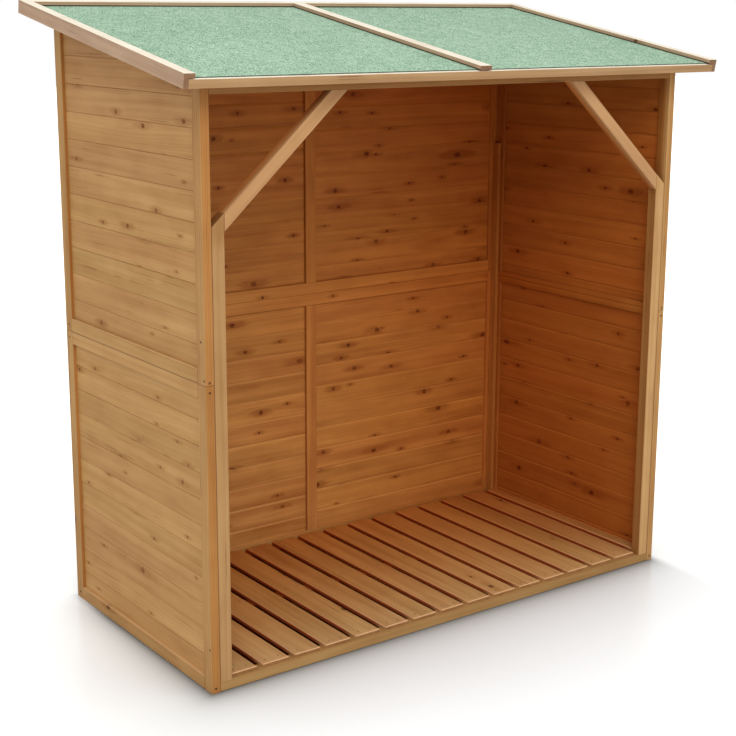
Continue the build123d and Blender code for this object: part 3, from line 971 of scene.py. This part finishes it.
def floor_material():
    """A pale floor that keeps the shadow, with a painted contact shadow at the store and painted shade
    beneath it, and that brightens outwards for the camera alone.
    """
    material, tree = bare_material("pale studio floor")
    place = node(tree, "ShaderNodeTexCoord").outputs["Object"]
    x, y, z = parts_of(tree, place)
    beside = maths(tree, "SUBTRACT", maths(tree, "ABSOLUTE", x), STORE_HALF.x)
    before = maths(tree, "SUBTRACT", maths(tree, "ABSOLUTE", y), STORE_HALF.y)
    shade_beneath = fade(tree, maths(tree, "MAXIMUM", beside, before), -0.02, -0.04)
    out = join(tree, maths(tree, "MAXIMUM", beside, 0.0), maths(tree, "MAXIMUM", before, 0.0), 0.0)
    away = node(tree, "ShaderNodeVectorMath", {0: out}, operation="LENGTH").outputs["Value"]

    # painted contact shadow right at the timbers, and painted shade on the ground under the slats
    soft = noise(tree, stretch(tree, place, 1.5, 1.5, 1.5), 2)
    colour = mix(tree, soft, paint(230, 233, 233), paint(234, 237, 237))
    contact_shadow = maths(tree, "EXPONENT", maths(tree, "MULTIPLY", away, CONTACT_SHADOW_FALL))
    contact_shadow = maths(tree, "MULTIPLY", contact_shadow, fade(tree, y, 0.5, 0.2, 0.0, 0.80))
    right = fade(tree, x, STORE_HALF.x - 0.02, STORE_HALF.x + 0.04)
    right = maths(tree, "MULTIPLY", right, fade(tree, y, -1.2, -0.6))
    contact_shadow = maths(tree, "MULTIPLY", contact_shadow, maths(tree, "SUBTRACT", 1.0, right))
    colour = mix(tree, contact_shadow, colour, paint(40, 38, 36))
    colour = mix(tree, shade_beneath, colour, paint(150, 84, 52))
    shader = node(tree, "ShaderNodeBsdfPrincipled",
                  {"Base Color": colour, "Roughness": 0.22, "Specular IOR Level": 0.25})

    # further out it brightens to the white of the backdrop, for the camera alone
    near = maths(tree, "EXPONENT", maths(tree, "DIVIDE", away, -LIFT_REACH))
    lift = maths(tree, "MULTIPLY_ADD", near, -BACKDROP_LIFT, BACKDROP_LIFT)
    behind = maths(tree, "MULTIPLY", fade(tree, y, -0.3, 0.45, 0.0, 0.16), fade(tree, away, 0.0, 0.03))
    lift = maths(tree, "ADD", lift, behind)
    lift = maths(tree, "MULTIPLY_ADD", right, 0.14, lift)
    lift = maths(tree, "MULTIPLY", lift, maths(tree, "SUBTRACT", 1.0, shade_beneath))
    seen = node(tree, "ShaderNodeLightPath").outputs["Is Camera Ray"]
    lift = maths(tree, "MULTIPLY", lift, seen)
    glow = node(tree, "ShaderNodeEmission", {"Color": (1, 1, 1, 1), "Strength": lift})
    both = node(tree, "ShaderNodeAddShader", {0: shader.outputs[0], 1: glow.outputs[0]})
    node(tree, "ShaderNodeOutputMaterial", {"Surface": both.outputs[0]})
    return material


def lay_floor(half=30.0):
    """A flat sheet just under the store, out to half the given width on each side."""
    data = bpy.data.meshes.new("studio_floor")
    corners = [(-half, -half, 0), (half, -half, 0), (half, half, 0), (-half, half, 0)]
    data.from_pydata(corners, [], [(0, 1, 2, 3)])
    data.materials.append(floor_material())
    floor = bpy.data.objects.new("studio_floor", data)
    bpy.context.scene.collection.objects.link(floor)
    floor.location.z = -0.0005
    floor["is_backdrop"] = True
    return floor


floor = lay_floor()
print("floor:", tuple(round(x) for x in floor.dimensions[:2]), "m")

# %% Sky and lamp
def light_sky(strength):
    """An even white sky; the camera and mirrors see plain white in its place."""
    world = bpy.data.worlds.new("soft studio")
    bpy.context.scene.world = world
    world.use_nodes = True
    tree = world.node_tree
    tree.nodes.clear()
    path = node(tree, "ShaderNodeLightPath").outputs
    mirrored = maths(tree, "MAXIMUM", path["Is Glossy Ray"], path["Is Transmission Ray"])
    seen = maths(tree, "MAXIMUM", path["Is Camera Ray"], mirrored)
    levels = {"Value": seen, "To Min": strength, "To Max": 1.0}
    level = node(tree, "ShaderNodeMapRange", levels).outputs["Result"]
    sky = node(tree, "ShaderNodeBackground", {"Color": (1, 1, 1, 1), "Strength": level})
    node(tree, "ShaderNodeOutputWorld", {"Surface": sky.outputs[0]})
    return world


def hang_lamp(name, place, target, size, power):
    """A round soft lamp, turned to its target."""
    lamp = bpy.data.lights.new(name, "AREA")
    lamp.shape = "DISK"
    lamp.size = size
    lamp.energy = power
    holder = bpy.data.objects.new(name, lamp)
    holder.location = place
    holder.rotation_euler = (Vector(target) - Vector(place)).to_track_quat("-Z", "Y").to_euler()
    bpy.context.scene.collection.objects.link(holder)
    return holder


light_sky(strength=0.94)
softbox = hang_lamp("front_softbox", place=(-2.6, -5.0, 5.6), target=(0, 0, 0.9), size=3.5, power=190)
print(softbox.name, softbox.data.energy, "W")

# %% Camera
LENS_MM, SHIFT_UP = 70.93, -0.0408
EYE = (-2.7897, -3.7716, 1.9085)
camera_data = bpy.data.cameras.new("visitor")
camera_data.sensor_width = 36
camera_data.lens = LENS_MM
camera_data.shift_y = SHIFT_UP
camera_data.clip_end = 200
camera = bpy.data.objects.new("visitor", camera_data)
turn, dip, roll = 0.6314, 0.2236, 0.0039
facing = Matrix.Rotation(-turn, 4, "Z") @ Matrix.Rotation(math.pi / 2 - dip, 4, "X")
facing = facing @ Matrix.Rotation(roll, 4, "Z")
camera.matrix_world = Matrix.Translation(EYE) @ facing
bpy.context.scene.collection.objects.link(camera)
bpy.context.scene.camera = camera
bpy.context.scene.view_settings.view_transform = "Standard"
print("camera stands", round((camera.location - Vector((0, 0, 1))).length, 2), "m from the store")

# %% [markdown]
# ## Sizes
# The box of everything that shows is printed beside the CAD model's box.

# %% Sizes
size_of_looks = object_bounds()


def plain(box):
    """A box, or one corner of it, as plain lists of numbers."""
    if hasattr(box[0], "__len__"):
        return [[float(x) for x in corner] for corner in box]
    return [float(x) for x in box]


json.dumps(plain(size_of_cad)) + "\n"
json.dumps(plain(size_of_looks)) + "\n"
print("CAD box:  ", plain(size_of_cad))
print("with looks:", plain(size_of_looks))
